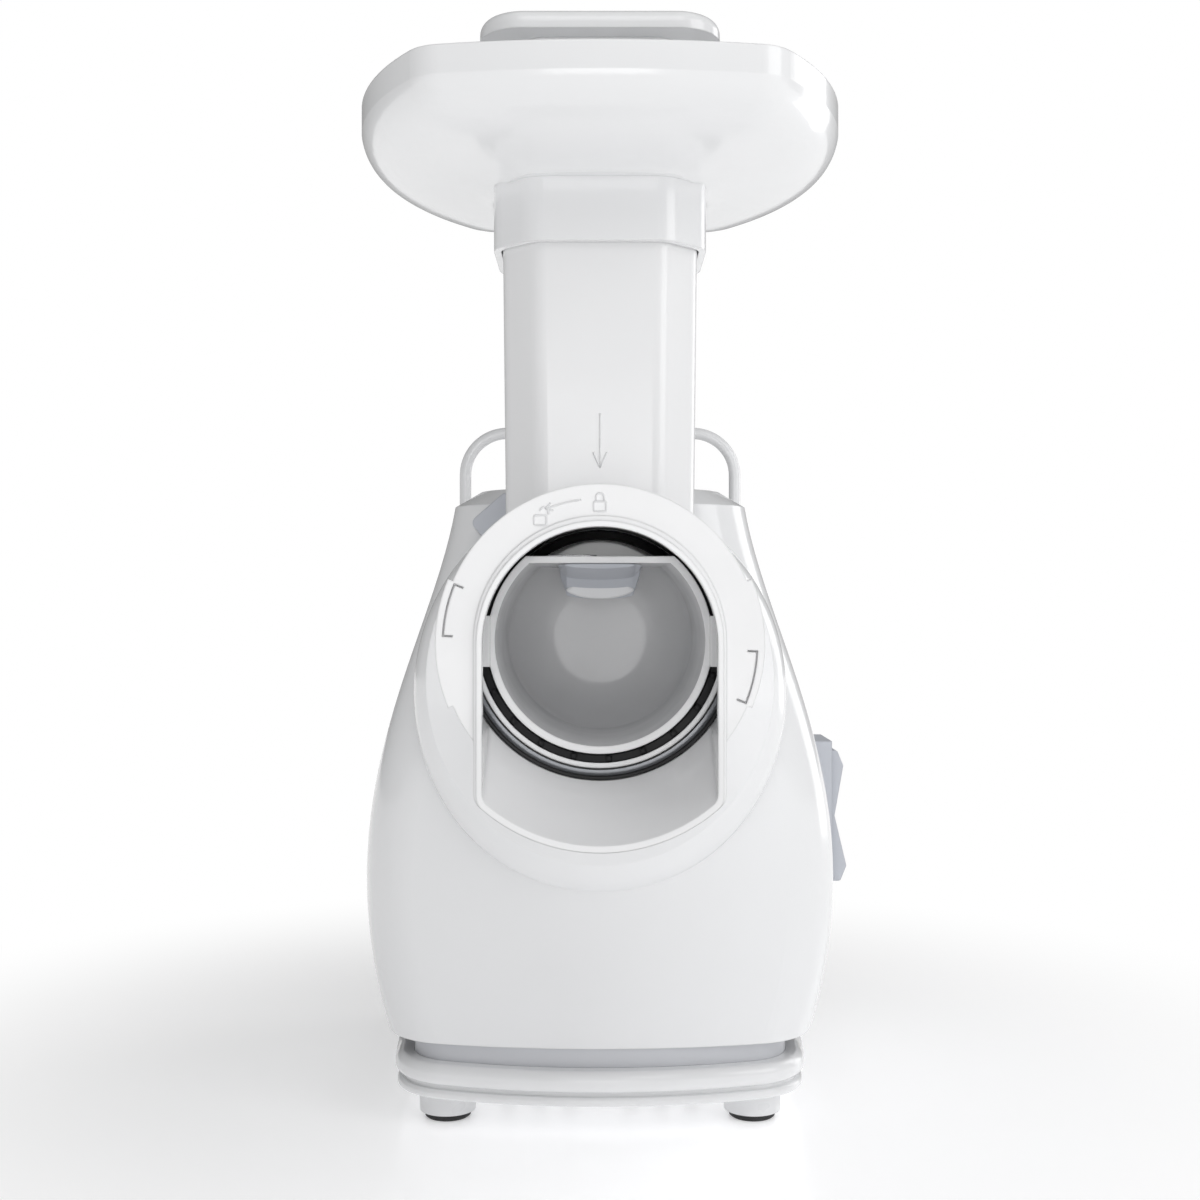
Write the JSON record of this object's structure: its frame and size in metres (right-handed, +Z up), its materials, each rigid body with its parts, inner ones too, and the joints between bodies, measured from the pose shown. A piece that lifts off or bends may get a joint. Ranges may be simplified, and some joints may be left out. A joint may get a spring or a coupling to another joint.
{
  "type": "electric drum shredder",
  "caption": "Upright motor body with a bayonet drum-slicer head, octagonal feed chute, tray, pusher, open front spout, rocker switch and carry handle.",
  "frame": {"origin": "on the rest plane, in the plane of symmetry, under the middle of the motor body", "axes": "+Z up, the drum opening and spout face -Y, +X is the side that carries the rocker switch"},
  "size_m": [0.185, 0.2956, 0.366],
  "materials": {
    "white_gloss": "smooth glossy injection-moulded plastic",
    "white_clear": "smooth glossy food-grade plastic",
    "white_satin": "satin moulded plastic",
    "skirt_grey": "fine-grained moulded plastic",
    "control_grey": "satin grey plastic",
    "black_plastic": "black bearing plastic",
    "black_rubber": "moulded rubber",
    "seal_grey": "smooth silicone rubber",
    "steel": "ground steel",
    "cast_alloy": "die cast, as machined",
    "lamination": "stacked sheet steel",
    "copper": "enamelled copper",
    "carbon": "pressed carbon",
    "nylon": "moulded nylon",
    "inner_black": "glass-filled moulded plastic"
  },
  "bodies": {
    "motor_base": {"base_tray": "white_gloss", "base_skirt": "skirt_grey", "foot_front_left": "white_satin", "foot_front_right": "white_satin", "foot_rear_left": "white_satin", "foot_rear_right": "white_satin", "pad_front_left": "black_rubber", "pad_front_right": "black_rubber", "pad_rear_left": "black_rubber", "pad_rear_right": "black_rubber", "base_screws": "steel", "body_shell": "white_gloss", "rear_cover": "white_gloss", "carry_handle": "white_gloss", "ferrule_left": "white_satin", "ferrule_right": "white_satin", "rocker_frame": "control_grey", "switch_block": "black_plastic", "switch_tabs": "copper", "socket_ring": "cast_alloy", "gearbox_housing": "inner_black", "gearbox_cover": "inner_black", "gearbox_screws": "steel", "spindle_bush_front": "copper", "spindle_bush_rear": "copper", "counter_pin": "steel", "stator_core": "lamination", "stator_windings": "copper", "motor_bearing_front": "steel", "motor_bearing_rear": "steel", "motor_bracket_front": "steel", "motor_bracket_rear": "steel", "motor_bolts": "steel", "carbon_brushes": "carbon", "brush_holders": "inner_black", "motor_carrier": "inner_black", "terminal_block": "nylon", "cord_inlet_bush": "black_rubber", "release_spring": "steel"},
    "head": {"drum_housing": "white_clear", "ribbed_ring": "black_plastic", "seal_ring": "seal_grey", "thrust_washer": "black_plastic"},
    "front_cover": {"front_cover": "white_clear"},
    "feed_tray": {"feed_tray": "white_gloss"},
    "pusher": {"pusher_stem": "white_gloss", "pusher_cap": "white_gloss"},
    "drum": {"slicing_drum": "white_clear", "drum_blade": "steel", "drive_spindle": "steel", "output_gear": "nylon"},
    "counter_gear": {"counter_gear": "nylon"},
    "rotor": {"rotor_shaft": "steel", "rotor_core": "lamination", "commutator": "copper", "cooling_fan": "inner_black", "motor_pinion": "steel"},
    "rocker": {"rocker": "control_grey"},
    "release_button": {"release_button": "control_grey", "latch_pin": "steel"}
  },
  "joints": [
    {"name": "rotor_spin", "type": "hinge", "parent": "motor_base", "child": "rotor", "pos_m": [0, 0, 0.101], "axis": [0, 1, 0], "continuous": true},
    {"name": "counter_spin", "type": "hinge", "parent": "motor_base", "child": "counter_gear", "pos_m": [0, 0, 0.136], "axis": [0, 1, 0], "continuous": true},
    {"name": "drum_spin", "type": "hinge", "parent": "motor_base", "child": "drum", "pos_m": [0, 0, 0.176], "axis": [0, 1, 0], "continuous": true},
    {"name": "head_twist", "type": "hinge", "parent": "motor_base", "child": "head", "pos_m": [0, 0, 0.176], "axis": [0, -1, 0], "range_deg": [0, 40]},
    {"name": "cover_twist", "type": "hinge", "parent": "head", "child": "front_cover", "pos_m": [0, 0, 0.176], "axis": [0, 1, 0], "range_deg": [0, 28]},
    {"name": "tray_lift", "type": "slide", "parent": "head", "child": "feed_tray", "axis": [0, 0, 1], "range_m": [0, 0.045]},
    {"name": "pusher_lift", "type": "slide", "parent": "feed_tray", "child": "pusher", "axis": [0, 0, 1], "range_m": [0, 0.1]},
    {"name": "rocker_tilt", "type": "hinge", "parent": "motor_base", "child": "rocker", "pos_m": [0.0864, -0.014, 0.104], "axis": [0, 1, 0], "range_deg": [-9, 9]},
    {"name": "release_press", "type": "slide", "parent": "motor_base", "child": "release_button", "axis": [0, 1, 0], "range_m": [0, 0.003], "stiffness_N_per_m": 800, "springref_m": -0.002, "deforming": ["release_spring"]}
  ],
  "couplings": [
    {"joint": "counter_spin", "follows": "rotor_spin", "ratio": -0.16667},
    {"joint": "drum_spin", "follows": "rotor_spin", "ratio": 0.038462}
  ]
}
